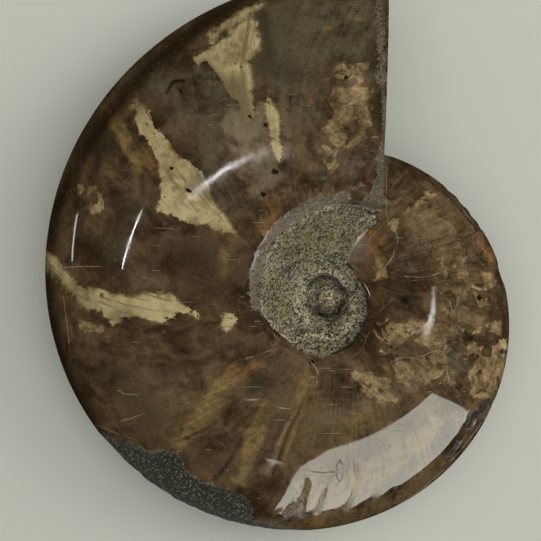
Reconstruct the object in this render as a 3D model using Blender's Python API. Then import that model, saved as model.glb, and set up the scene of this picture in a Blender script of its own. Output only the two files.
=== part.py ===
"""A polished fossil ammonite lying on its flank, in metres, +Z up.

The whole fossil is one stone: a coiled shell turned to rock, ground smooth on both
flanks, sawn off flat at its open end, with sandstone left in both navels. It is drawn
as one sheet wound round the coil, from the cut end inwards to the first chamber,
mirrored for the far flank, and then set down the way it comes to rest.
"""

import math

import bmesh
import bpy
import numpy as np
from mathutils import Matrix

TURN = 2 * math.pi

# The coil, seen along its axis. Whorl angle is 0 at the cut end and grows inwards.
COIL_REACH = 0.0902  # distance from the axis to the keel, at the cut end
COIL_GROWTH = 0.1197  # the keel's distance shrinks by this share for each radian
COIL_SWELL = 0.043  # the coil is this much fuller on one side
SWELL_AT = math.radians(129)
NAVEL_SHARE = 0.232  # the inner seam's distance from the axis, as a share of the keel's
NAVEL_FLARE = 0.072  # the seam draws back by this much more at the cut end
FLARE_FROM, FLARE_TO = math.radians(-20), math.radians(130)

# The whorl's section, across the flank from the seam (0) to the keel (1).
HALF_BREADTH = 0.240  # the flank's greatest height above mid-plane, as a share of reach
CREST_AT = 0.46  # where the flank stands highest
WALL_POWER = 14.0  # how sharply the flank drops into the navel
DOME = 0.07  # how far the flank dips from its crest to the seam, as a share of its height
DOME_POWER = 2.0
FLANK_POWER, KEEL_POWER = 2.3, 1.45  # how full the flank is, and how blunt the keel

# The navel is filled with sandstone, from the foot of the cut end inwards.
FILL_SHARE = 0.8  # how far up the next whorl's wall the sandstone reaches
FILL_FROM, FILL_TO = math.radians(338), math.radians(372)  # it rises to that here
FILL_POWER = 1.5  # how much it hollows towards the axis
THINS_BY = 0.8  # it is thinner by this share on the innermost whorls
THINS_FROM, THINS_TO = math.radians(660), math.radians(780)
FILL_SPREAD = 1.3  # it thins out by this many times the seam's distance, past the cut
NAVEL_GROWTH = 0.07  # the height of the whorls in the navel shrinks by this much a radian
CORE_HEIGHT = 0.7  # height of the first chamber's seam, as a share of its flank's
KNOB_RISE = 0.35  # the first chamber stands this much higher than its rim

# The saw cut that ends the last whorl is one plane, beside the axis.
CUT_OFFSET = 0.0132
CUT_TURN = math.radians(-1.9)
CUT_BLEND = math.radians(60)  # the lines of the mesh turn to the cut over this angle

# Broad low folds on the flank, opposite the cut end.
FOLD_HEIGHT = 0.0006
FOLD_PITCH = math.radians(19)
FOLD_FROM, FOLD_TO = math.radians(105), math.radians(240)
FOLD_SWEEP = math.radians(16)  # each fold bends forwards by this much on its way out

# How it lies: the coil's axis leans by these turns, and its lowest spots are worn flat.
LEAN_ABOUT_X = math.radians(2.7)
LEAN_ABOUT_Y = math.radians(-2.2)
FLAT_DEPTH = 0.0004

# The mesh.
STEPS_PER_TURN = 84
NAVEL_TURNS = 3
NAVEL_SHARES = (0.0, 0.07, 0.17, 0.34, 0.62, 1.0)  # seam to the next whorl's seam
KEEL_SHARES = (0.0, 0.16, 0.33, 0.50, 0.65, 0.78, 0.88, 0.95, 0.988, 1.0)
SETTLE_ROUNDS = 40  # a point near the cut is moved this often until it lies on it
WELD = 1e-5
SHARP_ANGLE = math.radians(40)

STONE_COLOUR = (0.10, 0.065, 0.035, 1.0)


def smooth_step(value, low, high):
    share = np.clip((value - low) / (high - low), 0.0, 1.0)
    return share * share * (3 - 2 * share)


def keel_reach(whorl_angle):
    """Distance from the coil's axis to the keel."""
    swell = 1 + COIL_SWELL * np.cos(whorl_angle - SWELL_AT)
    return COIL_REACH * np.exp(-COIL_GROWTH * whorl_angle) * swell


def seam_reach(whorl_angle):
    """Distance from the axis to the seam, where a whorl meets the one inside it."""
    flare = NAVEL_FLARE * (1 - smooth_step(whorl_angle, FLARE_FROM, FLARE_TO))
    return keel_reach(whorl_angle) * (NAVEL_SHARE + flare)


def next_seam_reach(whorl_angle):
    """Where the next whorl outwards covers this one, or would if there were one."""
    return seam_reach(whorl_angle - TURN)


def fold_height(whorl_angle, share):
    """The low folds, strongest half way out, fading at both ends of their stretch."""
    stretch = smooth_step(whorl_angle, FOLD_FROM, FOLD_FROM + 1.5 * FOLD_PITCH)
    stretch = stretch * (1 - smooth_step(whorl_angle, FOLD_TO - FOLD_PITCH, FOLD_TO))
    across = np.sin(math.pi * np.clip(share, 0, 1)) ** 1.5
    swept = whorl_angle + FOLD_SWEEP * share * share
    return FOLD_HEIGHT * stretch * across * np.cos(TURN * swept / FOLD_PITCH)


def crest_height(whorl_angle):
    """The flank's greatest height above the mid-plane."""
    outer_turn, navel_turns = np.minimum(whorl_angle, TURN), np.maximum(whorl_angle - TURN, 0)
    shrink = np.exp(-COIL_GROWTH * outer_turn - NAVEL_GROWTH * navel_turns)
    return HALF_BREADTH * COIL_REACH * shrink


def fill_height(whorl_angle, reach):
    """Sandstone on a whorl in the navel, thickest where the next whorl's wall rises."""
    wall = crest_height(whorl_angle - TURN) - crest_height(whorl_angle)
    seam, next_seam = seam_reach(whorl_angle), next_seam_reach(whorl_angle)
    across = np.clip((reach - seam) / (next_seam - seam), 0.0, 1.0) ** FILL_POWER
    across = across * (1 - smooth_step(reach, next_seam, FILL_SPREAD * next_seam))
    thinned = 1 - THINS_BY * smooth_step(whorl_angle, THINS_FROM, THINS_TO)
    filled = FILL_SHARE * smooth_step(whorl_angle, FILL_FROM, FILL_TO) * thinned
    return filled * across * wall


def flank_height(whorl_angle, reach, whorls_inside=4):
    """Height of the flank above the mid-plane, at a distance from the axis."""
    keel, seam = keel_reach(whorl_angle), seam_reach(whorl_angle)
    share = np.clip((reach - seam) / (keel - seam), 0.0, 1.0)
    crest = crest_height(whorl_angle)
    if whorls_inside == 0:
        seam_height = CORE_HEIGHT * crest
    else:
        seam_height = flank_height(whorl_angle + TURN, seam, whorls_inside - 1)
    outward = np.clip((share - CREST_AT) / (1 - CREST_AT), 0.0, 1.0)
    inward = np.clip((CREST_AT - share) / CREST_AT, 0.0, 1.0)
    outer = crest * (1 - outward**FLANK_POWER) ** (1 / KEEL_POWER)
    dipped = crest * (1 - DOME * inward**DOME_POWER)
    inner = dipped - (crest * (1 - DOME) - seam_height) * inward**WALL_POWER
    height = np.where(share > CREST_AT, outer, inner)
    return height + fold_height(whorl_angle, share) + fill_height(whorl_angle, reach)


def cut_bearing(reach):
    """Bearing from the axis at which the saw cut is met, at a distance from the axis."""
    return np.arccos(CUT_OFFSET / np.maximum(reach, seam_reach(0.0)))


def wound(line_angle, inner, outer, share):
    """Whorl angle and reach of a mesh point, share of the way between two spirals.

    Mesh lines run straight out from the axis, except near the cut, which they follow.
    """
    nearest = np.abs(line_angle - TURN * np.round(line_angle / TURN))
    follow = 1 - smooth_step(nearest, 0.0, CUT_BLEND)
    reach = inner(line_angle)
    for _ in range(SETTLE_ROUNDS):
        angle = line_angle + follow * (cut_bearing(reach) - cut_bearing(keel_reach(0.0)))
        reach = inner(angle) + share * (outer(angle) - inner(angle))
    return angle, reach


def wind_sheet(shell, turns, shares, inner, outer):
    """A flat grid, with one column of faces for each gap in shares, wound on the coil."""
    steps, columns = STEPS_PER_TURN * turns, len(shares) - 1
    sheet = bmesh.ops.create_grid(
        shell, x_segments=steps, y_segments=columns, size=0.5
    )["verts"]
    flat = np.array([vert.co for vert in sheet])
    line = np.round((flat[:, 0] + 0.5) * steps) * TURN / STEPS_PER_TURN
    share = np.array(shares)[np.round((flat[:, 1] + 0.5) * columns).astype(int)]
    angle, reach = wound(line, inner, outer, share)
    height = flank_height(angle, reach)
    if outer is keel_reach:
        height[share == 1.0] = 0.0
    bearing = angle + cut_bearing(keel_reach(0.0)) + CUT_TURN
    place = np.stack([reach * np.cos(bearing), reach * np.sin(bearing), height], axis=1)
    for vert, spot in zip(sheet, place):
        vert.co = spot


def close_navel(shell):
    """The first chamber: the open spiral at the axis is filled and drawn to a point."""
    rim = [edge for edge in shell.edges if edge.is_boundary and in_navel(edge)]
    floor = bmesh.ops.contextual_create(shell, geom=rim)["faces"]
    middle = bmesh.ops.poke(shell, faces=floor)["verts"][0]
    middle.co.z += KNOB_RISE * middle.co.z


def in_navel(edge):
    return all(math.hypot(vert.co.x, vert.co.y) < seam_reach(TURN) for vert in edge.verts)


def close_cut_end(shell):
    """The flat sawn face, from the keel of the last whorl to the keel it covers."""
    rim = [edge for edge in shell.edges if edge.is_boundary]
    bmesh.ops.contextual_create(shell, geom=rim)


def set_down(shell):
    """Leans the coil as it rests, centres it, and wears the lowest spots flat."""
    lean = Matrix.Rotation(LEAN_ABOUT_X, 3, "X") @ Matrix.Rotation(LEAN_ABOUT_Y, 3, "Y")
    bmesh.ops.transform(shell, matrix=lean.to_4x4(), verts=shell.verts)
    places = np.array([vert.co for vert in shell.verts])
    low, high = places.min(axis=0), places.max(axis=0)
    shift = -(low + high) / 2
    shift[2] = -low[2] - FLAT_DEPTH
    bmesh.ops.translate(shell, vec=shift, verts=shell.verts)
    worn = bmesh.ops.bisect_plane(
        shell,
        geom=[*shell.verts, *shell.edges, *shell.faces],
        plane_co=(0, 0, 0),
        plane_no=(0, 0, 1),
        dist=1e-7,
        clear_inner=True,
    )
    rim = [item for item in worn["geom_cut"] if isinstance(item, bmesh.types.BMEdge)]
    bmesh.ops.edgenet_fill(shell, edges=rim)


def stone_material():
    material = bpy.data.materials.new("polished_fossil_shell")
    material.use_nodes = True
    surface = material.node_tree.nodes["Principled BSDF"]
    surface.inputs["Base Color"].default_value = STONE_COLOUR
    surface.inputs["Roughness"].default_value = 0.15
    surface.inputs["Metallic"].default_value = 0.0
    return material


def make_ammonite(collection):
    shell = bmesh.new()
    wind_sheet(shell, 1, KEEL_SHARES, next_seam_reach, keel_reach)
    wind_sheet(shell, NAVEL_TURNS, NAVEL_SHARES, seam_reach, next_seam_reach)
    bmesh.ops.remove_doubles(shell, verts=shell.verts, dist=WELD)
    close_navel(shell)
    flank = [*shell.verts, *shell.edges, *shell.faces]
    bmesh.ops.mirror(shell, geom=flank, matrix=Matrix(), merge_dist=WELD, axis="Z")
    close_cut_end(shell)
    bmesh.ops.triangulate(shell, faces=shell.faces)
    set_down(shell)
    bmesh.ops.triangulate(shell, faces=shell.faces)
    bmesh.ops.recalc_face_normals(shell, faces=shell.faces)
    mesh = bpy.data.meshes.new("ammonite")
    shell.to_mesh(mesh)
    shell.free()
    mesh.shade_smooth()
    mesh.set_sharp_from_angle(angle=SHARP_ANGLE)
    mesh.materials.append(stone_material())
    collection.objects.link(bpy.data.objects.new("ammonite", mesh))


def main():
    for old in list(bpy.data.objects):
        bpy.data.objects.remove(old)
    collection = bpy.data.collections.new("fossil_ammonite")
    bpy.context.scene.collection.children.link(collection)
    make_ammonite(collection)


main()
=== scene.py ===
import math

import bpy
import numpy as np
from mathutils import Matrix, Vector, noise


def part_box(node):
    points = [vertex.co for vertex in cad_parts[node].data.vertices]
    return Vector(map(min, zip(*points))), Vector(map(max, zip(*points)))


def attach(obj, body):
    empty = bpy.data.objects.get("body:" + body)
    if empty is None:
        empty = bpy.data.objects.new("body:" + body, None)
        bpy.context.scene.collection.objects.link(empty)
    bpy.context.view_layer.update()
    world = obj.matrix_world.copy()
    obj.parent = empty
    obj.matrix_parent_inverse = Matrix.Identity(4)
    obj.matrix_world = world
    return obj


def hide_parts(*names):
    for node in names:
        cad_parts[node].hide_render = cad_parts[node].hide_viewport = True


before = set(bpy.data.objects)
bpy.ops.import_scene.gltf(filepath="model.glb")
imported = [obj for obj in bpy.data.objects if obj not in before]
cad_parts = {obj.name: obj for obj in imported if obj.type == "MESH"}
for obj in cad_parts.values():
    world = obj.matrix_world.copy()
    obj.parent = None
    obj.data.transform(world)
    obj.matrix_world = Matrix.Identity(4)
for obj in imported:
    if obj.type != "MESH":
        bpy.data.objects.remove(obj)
bpy.ops.object.select_all(action="DESELECT")
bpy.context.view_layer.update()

# The fossil as it looks: one fine closed skin on the coil of the solid, ground, creased,
# chipped and marked at places read from the photograph. Lengths are in metres, places
# in the photograph in pixels of its 541 x 541 frame, x to the right and y down.

TURN = 2 * math.pi
MM = 0.001

# The coil and the whorl's section, as in the solid, apart from a steeper navel wall and
# lower folds that end sooner. Whorl angles run inwards from the saw cut.
COIL_REACH = 0.0902
COIL_GROWTH = 0.1197
COIL_SWELL = 0.043
SWELL_AT = math.radians(129)
NAVEL_SHARE = 0.232
NAVEL_FLARE = 0.072
FLARE_FROM, FLARE_TO = math.radians(-20), math.radians(130)
HALF_BREADTH = 0.240
CREST_AT = 0.46
WALL_POWER = 40.0
# The flank dips this much from its crest to the seam, as a share of its height.
DOME = 0.07
DOME_POWER = 2.0
FLANK_POWER, KEEL_POWER = 2.3, 1.45
# The sandstone that fills the navel, as a share of the wall it lies against.
FILL_SHARE = 0.80
FILL_FROM, FILL_TO = math.radians(338), math.radians(372)
FILL_POWER = 1.5
THINS_BY = 0.8
THINS_FROM, THINS_TO = math.radians(660), math.radians(780)
FILL_SPREAD = 1.3
NAVEL_GROWTH = 0.07
CORE_HEIGHT = 0.7
# The saw cut: a straight line that passes the axis at this distance.
CUT_OFFSET = 0.0132
CUT_TURN = math.radians(-1.9)
CUT_BLEND = math.radians(60)
# The folds: their height, the angle from one to the next, where they are and their sweep.
FOLD_HEIGHT = 0.04 * MM
FOLD_PITCH = math.radians(19)
FOLD_FROM, FOLD_TO = math.radians(105), math.radians(205)
FOLD_SWEEP = math.radians(16)
FOLD_FADE = 1.5  # pitches over which they begin
FOLD_POWER = 1.5
# How it leans as it lies, and how much is worn off its lowest spots.
LEAN_ABOUT_X = math.radians(2.7)
LEAN_ABOUT_Y = math.radians(-2.2)
LEAN = Matrix.Rotation(LEAN_ABOUT_X, 3, "X") @ Matrix.Rotation(LEAN_ABOUT_Y, 3, "Y")
FLAT_DEPTH = 0.4 * MM

# The skin's mesh: columns run outwards across the flank, steps run round the coil.
STEPS_PER_TURN = 420
NAVEL_TURNS = 3
NAVEL_COLUMNS = 20
KEEL_COLUMNS = 48
SAWN_ROWS = 12
# Columns crowd towards the seam and towards the keel by these powers.
NAVEL_CROWDING, KEEL_CROWDING = 1.25, 1.6
SETTLE_ROUNDS = 40
WELD = 0.001 * MM
FIRST_CHAMBER_RINGS = 4
FIRST_CHAMBER_RISE = 0.35 * MM
NEAR_AXIS = 0.6  # share of the seam's reach, one turn in from the saw cut
LAST_RING = 0.02
SMOOTH_BELOW = math.radians(50)
WHORLS_INSIDE = 4

# The camera, straight over the fossil, and the photograph's frame.
PHOTO_SIZE = 541
PIXEL = 0.269 * MM  # at the shell's mid-plane
VIEW_CENTRE = (-1.5 * MM, -4.0 * MM)
VIEW_DISTANCE = 0.40
FILM_WIDTH = 36.0  # millimetres, as the camera counts it
VIEW_NEAR, VIEW_FAR = 0.01, 20.0

# The room, in metres. Softboxes light the stone and stay out of its polish. Gleams are
# lamp strips that only show in the polish: the window and the thin highlights.
FLOOR_SIZE = 6.0
FLOOR_COLOUR = (0.74, 0.75, 0.67)
FLOOR_ROUGHNESS = 0.75
ROOM_COLOUR = (0.93, 0.96, 0.88)
ROOM_STRENGTH = 0.25
# Name, place, size and how bright it looks.
SOFTBOXES = [
    ("ceiling", (0.3, 0.0, 2.2), 3.2, 0.84),
    ("side_light", (1.5, 0.45, 0.95), 0.9, 3.6),
]
WHITE, DAYLIGHT = (1.0, 1.0, 1.0), (1.0, 1.0, 0.88)
WINDOW_FOOT, WINDOW_TOP = 0.08, 2.45
WINDOW_MIDDLE = (WINDOW_FOOT + WINDOW_TOP) / 2
GLEAM_AIM = 0.03
# Name, the middles of both ends, width, how bright it looks, colour, and how high over
# the middle of the floor it faces.
GLEAMS = [
    ("window", (-0.05, -1.27, WINDOW_MIDDLE), (1.18, -0.755, WINDOW_MIDDLE),
     WINDOW_TOP - WINDOW_FOOT, 4.4, DAYLIGHT, WINDOW_MIDDLE),
    ("left_streak", (-0.675, -0.070, 1.536), (-0.869, -0.242, 1.535),
     0.016, 34, WHITE, GLEAM_AIM),
    ("far_left", (-1.52, 0.26, 0.206), (-1.53, -0.03, 0.258),
     0.05, 6.5, WHITE, GLEAM_AIM),
    ("right_streak", (0.080, -0.028, 1.532), (0.100, -0.044, 1.532),
     0.005, 76, WHITE, GLEAM_AIM),
    ("upper_band", (-0.243, -0.153, 1.54), (-0.280, -0.198, 1.54),
     0.0045, 46, WHITE, GLEAM_AIM),
]


def smooth_step(value, low, high):
    share = np.clip((value - low) / (high - low), 0.0, 1.0)
    return share * share * (3 - 2 * share)


def keel_reach(whorl_angle):
    """Distance from the coil's axis to the keel."""
    swell = 1 + COIL_SWELL * np.cos(whorl_angle - SWELL_AT)
    return COIL_REACH * np.exp(-COIL_GROWTH * whorl_angle) * swell


def seam_reach(whorl_angle):
    """Distance from the axis to the seam, where a whorl meets the one inside it."""
    flare = NAVEL_FLARE * (1 - smooth_step(whorl_angle, FLARE_FROM, FLARE_TO))
    return keel_reach(whorl_angle) * (NAVEL_SHARE + flare)


def next_seam_reach(whorl_angle):
    """Where the next whorl outwards covers this one, or would if there were one."""
    return seam_reach(whorl_angle - TURN)


def fold_height(whorl_angle, share):
    """The low folds, strongest half way out, fading at both ends of their stretch."""
    stretch = smooth_step(whorl_angle, FOLD_FROM, FOLD_FROM + FOLD_FADE * FOLD_PITCH)
    stretch = stretch * (1 - smooth_step(whorl_angle, FOLD_TO - FOLD_PITCH, FOLD_TO))
    across = np.sin(math.pi * np.clip(share, 0, 1)) ** FOLD_POWER
    swept = whorl_angle + FOLD_SWEEP * share * share
    return FOLD_HEIGHT * stretch * across * np.cos(TURN * swept / FOLD_PITCH)


def crest_height(whorl_angle):
    """The flank's greatest height above the mid-plane."""
    outer_turn, navel_turns = np.minimum(whorl_angle, TURN), np.maximum(whorl_angle - TURN, 0)
    shrink = np.exp(-COIL_GROWTH * outer_turn - NAVEL_GROWTH * navel_turns)
    return HALF_BREADTH * COIL_REACH * shrink


def fill_height(whorl_angle, reach):
    """Sandstone on a whorl in the navel, thickest where the next whorl's wall rises."""
    wall = crest_height(whorl_angle - TURN) - crest_height(whorl_angle)
    seam, next_seam = seam_reach(whorl_angle), next_seam_reach(whorl_angle)
    across = np.clip((reach - seam) / (next_seam - seam), 0.0, 1.0) ** FILL_POWER
    across = across * (1 - smooth_step(reach, next_seam, FILL_SPREAD * next_seam))
    thinned = 1 - THINS_BY * smooth_step(whorl_angle, THINS_FROM, THINS_TO)
    filled = FILL_SHARE * smooth_step(whorl_angle, FILL_FROM, FILL_TO) * thinned
    return filled * across * wall


def flank_height(whorl_angle, reach, whorls_inside=WHORLS_INSIDE):
    """Height of the flank above the mid-plane, at a distance from the axis."""
    keel, seam = keel_reach(whorl_angle), seam_reach(whorl_angle)
    share = np.clip((reach - seam) / (keel - seam), 0.0, 1.0)
    crest = crest_height(whorl_angle)
    if whorls_inside == 0:
        seam_height = CORE_HEIGHT * crest
    else:
        seam_height = flank_height(whorl_angle + TURN, seam, whorls_inside - 1)
    outward = np.clip((share - CREST_AT) / (1 - CREST_AT), 0.0, 1.0)
    inward = np.clip((CREST_AT - share) / CREST_AT, 0.0, 1.0)
    outer = crest * (1 - outward**FLANK_POWER) ** (1 / KEEL_POWER)
    dipped = crest * (1 - DOME * inward**DOME_POWER)
    inner = dipped - (crest * (1 - DOME) - seam_height) * inward**WALL_POWER
    height = np.where(share > CREST_AT, outer, inner)
    return height + fold_height(whorl_angle, share) + fill_height(whorl_angle, reach)


def cut_bearing(reach):
    """Bearing from the axis at which the saw cut is met, at a distance from the axis."""
    return np.arccos(CUT_OFFSET / np.maximum(reach, seam_reach(0.0)))


def wound(line_angle, inner, outer, share):
    """Whorl angle and reach of a mesh point, share of the way between two spirals.

    Mesh lines run straight out from the axis, except near the cut, which they follow.
    """
    nearest = np.abs(line_angle - TURN * np.round(line_angle / TURN))
    follow = 1 - smooth_step(nearest, 0.0, CUT_BLEND)
    reach = inner(line_angle)
    for _ in range(SETTLE_ROUNDS):
        angle = line_angle + follow * (cut_bearing(reach) - cut_bearing(keel_reach(0.0)))
        reach = inner(angle) + share * (outer(angle) - inner(angle))
    return angle, reach


def place_on_coil(angle, reach, height):
    bearing = angle + cut_bearing(keel_reach(0.0)) + CUT_TURN
    return np.stack([reach * np.cos(bearing), reach * np.sin(bearing), height], axis=1)


def crowd_to_seam(share):
    return share**NAVEL_CROWDING


def crowd_to_keel(share):
    return 1 - (1 - share) ** KEEL_CROWDING


def read_points(piece):
    flat = np.empty(len(piece.data.vertices) * 3)
    piece.data.vertices.foreach_get("co", flat)
    return flat.reshape(-1, 3)


def write_points(piece, places):
    piece.data.vertices.foreach_set("co", places.ravel())
    piece.data.update()


def read_normals(piece):
    flat = np.empty(len(piece.data.vertices) * 3)
    piece.data.vertices.foreach_get("normal", flat)
    return flat.reshape(-1, 3)


def write_values(piece, name, values):
    layer = piece.data.attributes.get(name)
    if layer is None:
        layer = piece.data.attributes.new(name, "FLOAT", "POINT")
    layer.data.foreach_set("value", np.ascontiguousarray(values, dtype=float))


def add_grid(steps, columns):
    """A flat sheet, and for each of its points the step and column that it is in."""
    bpy.ops.mesh.primitive_grid_add(x_subdivisions=steps, y_subdivisions=columns, size=1)
    sheet = bpy.context.object
    flat = read_points(sheet) + 0.5
    step = np.round(flat[:, 0] * steps).astype(int)
    column = np.round(flat[:, 1] * columns).astype(int)
    return sheet, step, column


def wind_sheet(turns, columns, crowd, inner, outer):
    """A flat sheet wound on the coil, between two spirals."""
    sheet, step, column = add_grid(STEPS_PER_TURN * turns, columns)
    share = crowd(column / columns)
    angle, reach = wound(step * TURN / STEPS_PER_TURN, inner, outer, share)
    height = flank_height(angle, reach)
    if outer is keel_reach:
        height[column == columns] = 0.0
    write_points(sheet, place_on_coil(angle, reach, height))
    return sheet


def cut_line(line_angle, columns, crowd, inner, outer):
    """Points of one sheet's edge along the saw cut."""
    share = crowd(np.arange(columns + 1) / columns)
    angle, reach = wound(np.full(columns + 1, line_angle), inner, outer, share)
    height = flank_height(angle, reach)
    if outer is keel_reach:
        height[-1] = 0.0
    return place_on_coil(angle, reach, height)


def sawn_face():
    """Half of the sawn end, from the whorl it covers out to its own flank."""
    flank = np.vstack([
        cut_line(0.0, NAVEL_COLUMNS, crowd_to_seam, seam_reach, next_seam_reach)[:-1],
        cut_line(0.0, KEEL_COLUMNS, crowd_to_keel, next_seam_reach, keel_reach),
    ])
    covered = cut_line(TURN, KEEL_COLUMNS, crowd_to_keel, next_seam_reach, keel_reach)
    outwards = np.arange(1, NAVEL_COLUMNS + 1)[:, None] / NAVEL_COLUMNS
    middle = covered[-1] + outwards * (flank[-1] - covered[-1])
    core = np.vstack([covered, middle])
    sheet, step, column = add_grid(len(core) - 1, SAWN_ROWS)
    rise = (column / SAWN_ROWS)[:, None]
    write_points(sheet, core[step] + rise * (flank[step] - core[step]))
    write_values(sheet, "sawn", np.ones(len(step)))
    return sheet


def close_first_chamber(skin):
    """The open spiral at the axis is drawn in, ring by ring, to a low dome."""
    bpy.ops.object.mode_set(mode="EDIT")
    bpy.ops.mesh.select_mode(type="EDGE")
    bpy.ops.mesh.select_all(action="DESELECT")
    bpy.ops.object.mode_set(mode="OBJECT")
    places = read_points(skin)
    reach = np.hypot(places[:, 0], places[:, 1])
    uses = {}
    for face in skin.data.polygons:
        for key in face.edge_keys:
            uses[key] = uses.get(key, 0) + 1
    for edge in skin.data.edges:
        near_axis = max(reach[i] for i in edge.vertices) < NEAR_AXIS * seam_reach(TURN)
        edge.select = near_axis and uses[edge.key] == 1
    bpy.ops.object.mode_set(mode="EDIT")
    for ring in range(FIRST_CHAMBER_RINGS, 0, -1):
        shrink = (ring - 1) / ring
        width = max(shrink, LAST_RING)
        bpy.ops.mesh.extrude_edges_move(
            TRANSFORM_OT_translate={"value": (0, 0, FIRST_CHAMBER_RISE * shrink)}
        )
        bpy.ops.transform.resize(value=(width, width, 1), center_override=(0, 0, 0))
    bpy.ops.mesh.merge(type="CENTER")
    bpy.ops.object.mode_set(mode="OBJECT")


def make_skin():
    """The whole surface as one closed mesh, in the coil's own frame."""
    sheets = [
        wind_sheet(1, KEEL_COLUMNS, crowd_to_keel, next_seam_reach, keel_reach),
        wind_sheet(NAVEL_TURNS, NAVEL_COLUMNS, crowd_to_seam, seam_reach, next_seam_reach),
        sawn_face(),
    ]
    for sheet in sheets:
        sheet.select_set(True)
    skin = sheets[0]
    bpy.context.view_layer.objects.active = skin
    bpy.ops.object.join()
    skin.name = skin.data.name = "ammonite_skin"
    bpy.ops.object.mode_set(mode="EDIT")
    bpy.ops.mesh.select_all(action="SELECT")
    bpy.ops.mesh.remove_doubles(threshold=WELD)
    bpy.ops.object.mode_set(mode="OBJECT")
    close_first_chamber(skin)
    mirror = skin.modifiers.new("far_flank", "MIRROR")
    mirror.use_axis = (False, False, True)
    mirror.use_mirror_merge = True
    mirror.merge_threshold = WELD
    bpy.ops.object.modifier_apply(modifier=mirror.name)
    bpy.ops.object.mode_set(mode="EDIT")
    bpy.ops.mesh.select_all(action="SELECT")
    bpy.ops.mesh.remove_doubles(threshold=WELD)
    bpy.ops.mesh.normals_make_consistent(inside=False)
    bpy.ops.object.mode_set(mode="OBJECT")
    return skin


def lying(places):
    """Places in the coil's own frame, leaned as the solid lies."""
    return places @ np.array(LEAN).T


def place_skin(skin, shift):
    """Moves the skin from the coil's own frame to where the solid lies."""
    write_points(skin, lying(read_points(skin)) + shift)


def wear_flats(skin):
    """The lowest spots, worn flat on what it rests on."""
    bpy.ops.object.mode_set(mode="EDIT")
    bpy.ops.mesh.select_all(action="SELECT")
    bpy.ops.mesh.bisect(
        plane_co=(0, 0, 0), plane_no=(0, 0, 1), use_fill=True, clear_inner=True,
        threshold=1e-7,
    )
    bpy.ops.mesh.select_all(action="SELECT")
    bpy.ops.mesh.normals_make_consistent(inside=False)
    bpy.ops.object.mode_set(mode="OBJECT")


def resting_shift(skin):
    """How far the leaned coil moves so that its box is the solid's box."""
    places = lying(read_points(skin))
    low, high = places.min(axis=0), places.max(axis=0)
    box_low, box_high = (np.array(corner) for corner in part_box("ammonite"))
    shift = (box_low + box_high - low - high) / 2
    shift[2] = -low[2] - FLAT_DEPTH
    return shift


def upper_twins(places, shift):
    """Each place, or the place across the coil's mid-plane from it if it lies below."""
    coil_places = (places - shift) @ np.array(LEAN)
    coil_places[:, 2] = np.abs(coil_places[:, 2])
    return lying(coil_places) + shift


def camera_place(mid_height):
    return np.array([*VIEW_CENTRE, mid_height + VIEW_DISTANCE])


def photo_spots(places, mid_height):
    """Where the camera sees each place, in the photograph's pixels."""
    seen = places - camera_place(mid_height)
    zoom = VIEW_DISTANCE / PIXEL / -seen[:, 2]
    middle = (PHOTO_SIZE - 1) / 2
    return np.stack([middle + seen[:, 0] * zoom, middle - seen[:, 1] * zoom], axis=1)


def distance_to_path(path, spots):
    """Distance of each spot from an open path of points, in pixels."""
    nearest = np.full(len(spots), np.inf)
    for start, end in zip(path, path[1:] or path):
        start, run = np.array(start, float), np.array(end, float) - start
        along = np.clip((spots - start) @ run / max(run @ run, 1e-9), 0, 1)
        nearest = np.minimum(nearest, np.hypot(*(spots - start - along[:, None] * run).T))
    return nearest


def side_of_paths(paths, spots):
    """Distance from the nearest path, above 0 on one side of it and below on the other."""
    nearest, side = np.full(len(spots), np.inf), np.zeros(len(spots))
    for path in paths:
        for start, end in zip(path, path[1:]):
            start, run = np.array(start, float), np.array(end, float) - start
            offset = spots - start
            along = np.clip(offset @ run / (run @ run), 0, 1)
            gap = np.hypot(*(offset - along[:, None] * run).T)
            closer = gap < nearest
            turned = np.sign(run[0] * offset[:, 1] - run[1] * offset[:, 0])
            nearest[closer] = gap[closer]
            side[closer] = (turned * gap)[closer]
    return side


def depth_inside(outline, spots):
    """How deep each spot lies inside a closed outline, in pixels, negative outside."""
    inside = np.zeros(len(spots), bool)
    x, y = spots.T
    for (x1, y1), (x2, y2) in zip(outline, outline[1:] + outline[:1]):
        if y1 != y2:
            crossing = x1 + (y - y1) * (x2 - x1) / (y2 - y1)
            inside ^= ((y1 > y) != (y2 > y)) & (x < crossing)
    nearest = distance_to_path(outline + outline[:1], spots)
    return np.where(inside, nearest, -nearest)


def deepest(outlines, spots):
    return np.max([depth_inside(outline, spots) for outline in outlines], axis=0)


def brushed(strokes, spots):
    """Soft brush strokes laid over each other: 0 where there is none, up to 1."""
    bare = np.ones(len(spots))
    for width, strength, path in strokes:
        bare *= 1 - strength * np.exp(-((distance_to_path(path, spots) / width) ** 2))
    return 1 - bare


# Outlines of the markings and of the bare stone, in the photograph's pixels.
CREAM_FLAME = [
    (250, 16), (255, 22), (258, 33), (257, 50), (248, 60), (248, 70), (249, 83), (252, 98),
    (255, 112), (248, 120), (243, 112), (236, 104), (230, 96), (225, 86), (219, 76),
    (212, 68), (205, 62), (196, 63), (193, 58), (204, 53), (211, 47), (219, 40),
    (228, 37), (232, 29), (241, 25),
]
CREAM_TONGUE = [
    (267, 90), (272, 98), (276, 112), (278, 130), (280, 150), (279, 166), (274, 150),
    (270, 132), (266, 112),
]
CREAM_BAND = [
    (134, 92), (144, 105), (150, 116), (156, 129), (164, 136), (172, 144), (178, 153),
    (189, 160), (198, 168), (206, 180), (213, 203), (225, 216), (232, 225), (236, 233),
    (224, 232), (213, 228), (206, 222), (196, 226), (184, 222), (167, 211), (158, 214),
    (156, 208), (163, 197), (160, 184), (159, 170), (155, 153), (147, 142), (141, 134),
    (136, 122), (131, 109),
]
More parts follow.
